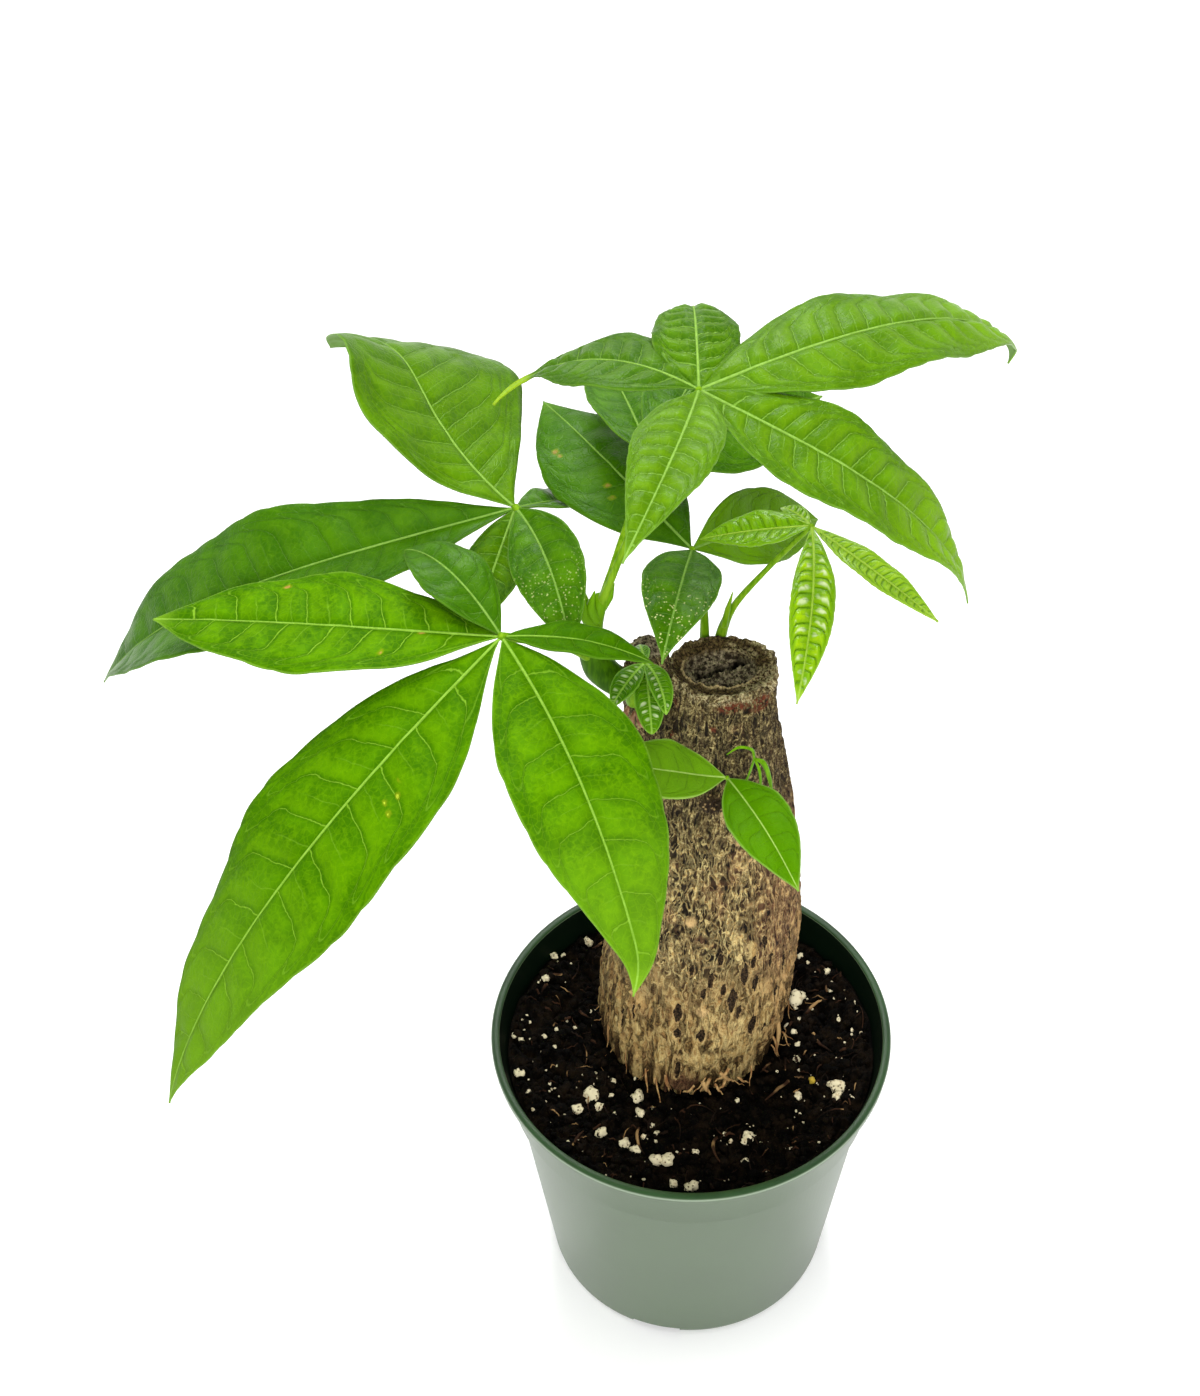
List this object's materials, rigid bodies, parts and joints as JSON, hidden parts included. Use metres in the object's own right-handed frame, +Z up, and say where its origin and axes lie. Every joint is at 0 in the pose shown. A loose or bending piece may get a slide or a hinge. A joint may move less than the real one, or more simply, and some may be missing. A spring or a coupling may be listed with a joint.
{
  "type": "potted money tree",
  "caption": "Young money tree with a stout cut trunk, palmate leaves on slender stalks, and dark potting mix, in a small plastic nursery pot.",
  "frame": {"origin": "centre of the pot's flat underside", "axes": "+Z up along the pot's axis, -Y towards the viewer, +X to the viewer's right"},
  "size_m": [0.2422, 0.1936, 0.3359],
  "materials": {
    "pot_plastic": "satin",
    "soil": "matte",
    "bark": "matte",
    "shoot_green": "satin",
    "leaf_bright": "satin",
    "leaf_mid": "satin",
    "leaf_dark": "satin",
    "leaf_young": "gloss"
  },
  "bodies": {
    "root": {"nursery_pot": "pot_plastic", "potting_soil": "soil", "trunk": "bark", "shoot_left": "shoot_green", "leaf_top": "leaf_mid", "leaf_behind_top": "leaf_dark", "leaf_back_left": "leaf_mid", "leaf_front_left": "leaf_bright", "leaf_centre": "leaf_dark", "leaf_young_right": "leaf_young", "leaf_young_cluster": "leaf_young", "sprout_front": "leaf_bright", "curled_sprout": "leaf_young"}
  },
  "joints": []
}
